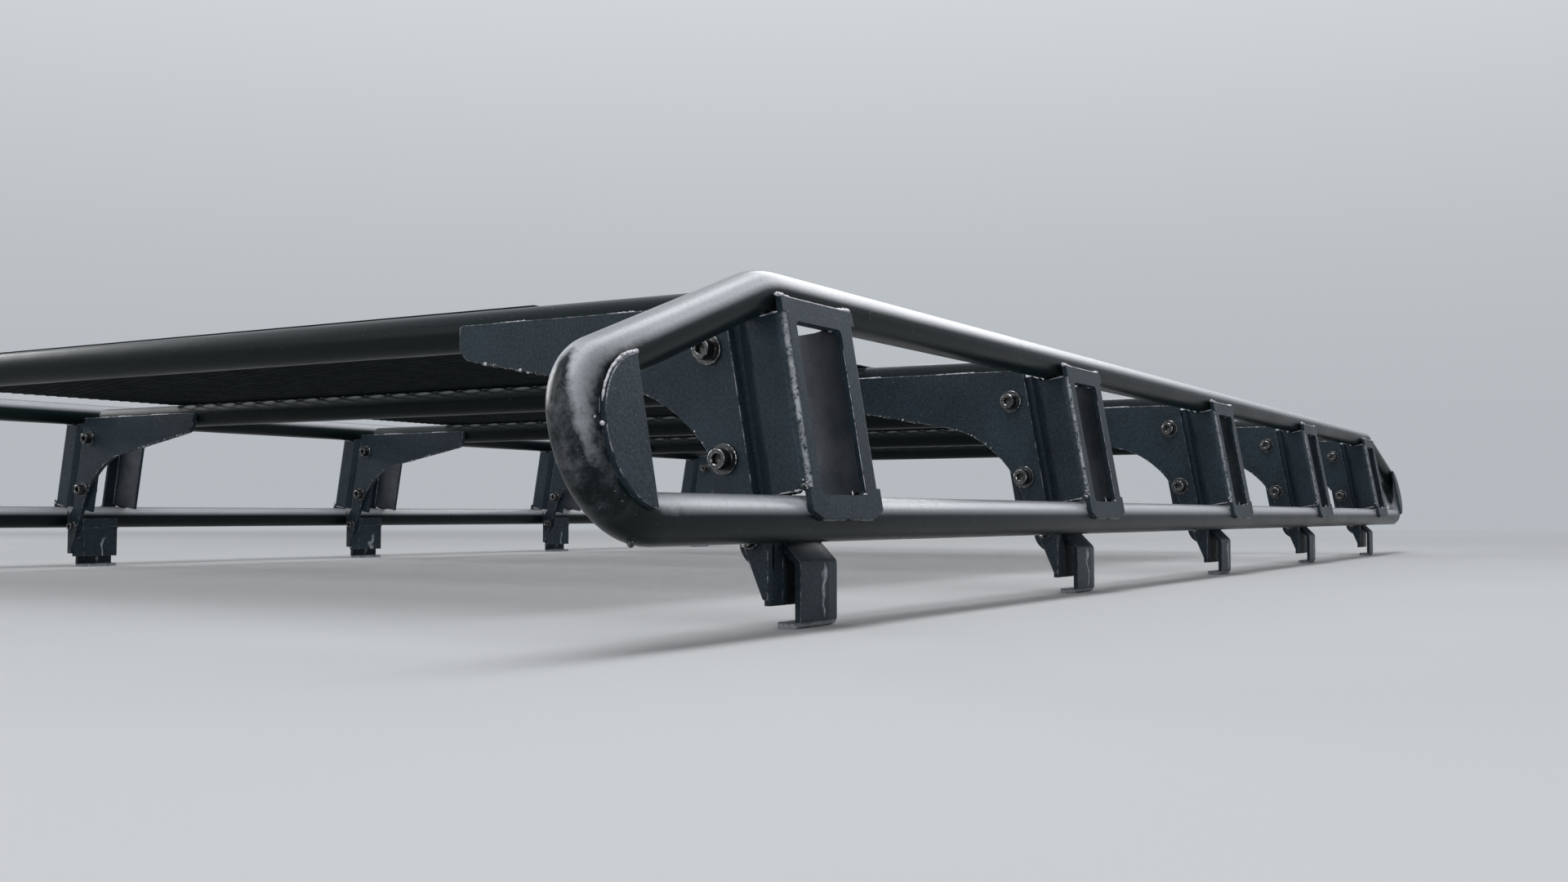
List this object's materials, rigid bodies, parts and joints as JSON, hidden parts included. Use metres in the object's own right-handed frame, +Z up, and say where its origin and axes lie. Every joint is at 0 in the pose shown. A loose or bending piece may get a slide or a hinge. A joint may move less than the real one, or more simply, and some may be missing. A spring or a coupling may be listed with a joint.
{
  "type": "roof rack for an off-road vehicle",
  "caption": "Full-length steel roof rack with twin-tube side rails, windowed uprights, gutter clamps and an expanded metal deck.",
  "frame": {"origin": "middle of the rack at the level of the clamps' lower faces, on which it stands", "axes": "+Y rearward along the side rails, +Z up, +X to the vehicle's left"},
  "size_m": [1.4364, 2.458, 0.2159],
  "materials": {
    "tube_paint": "semi-gloss black paint over steel tube, worn on the front bends",
    "plate_paint": "satin black textured paint over cut and folded plate",
    "bolt_steel": "black oxide socket screws, worn bright on the rims",
    "deck_mesh": "black painted expanded metal"
  },
  "bodies": {
    "root": {"lower_rail_left": "tube_paint", "lower_rail_right": "tube_paint", "upper_rail_left": "tube_paint", "upper_rail_right": "tube_paint", "front_noses": "tube_paint", "rear_noses": "tube_paint", "nose_plates": "plate_paint", "bracket_1_left": "plate_paint", "bracket_1_right": "plate_paint", "gusset_leg_1_left": "plate_paint", "gusset_leg_1_right": "plate_paint", "gutter_clamp_1_left": "plate_paint", "gutter_clamp_1_right": "plate_paint", "cross_tube_1": "tube_paint", "bracket_2_left": "plate_paint", "bracket_2_right": "plate_paint", "gusset_leg_2_left": "plate_paint", "gusset_leg_2_right": "plate_paint", "gutter_clamp_2_left": "plate_paint", "gutter_clamp_2_right": "plate_paint", "cross_tube_2": "tube_paint", "bracket_3_left": "plate_paint", "bracket_3_right": "plate_paint", "gusset_leg_3_left": "plate_paint", "gusset_leg_3_right": "plate_paint", "gutter_clamp_3_left": "plate_paint", "gutter_clamp_3_right": "plate_paint", "cross_tube_3": "tube_paint", "bracket_4_left": "plate_paint", "bracket_4_right": "plate_paint", "gusset_leg_4_left": "plate_paint", "gusset_leg_4_right": "plate_paint", "gutter_clamp_4_left": "plate_paint", "gutter_clamp_4_right": "plate_paint", "cross_tube_4": "tube_paint", "bracket_5_left": "plate_paint", "bracket_5_right": "plate_paint", "gusset_leg_5_left": "plate_paint", "gusset_leg_5_right": "plate_paint", "gutter_clamp_5_left": "plate_paint", "gutter_clamp_5_right": "plate_paint", "cross_tube_5": "tube_paint", "deck_panel_1": "deck_mesh", "deck_panel_2": "deck_mesh", "deck_panel_3": "deck_mesh", "deck_panel_4": "deck_mesh"}
  },
  "joints": []
}
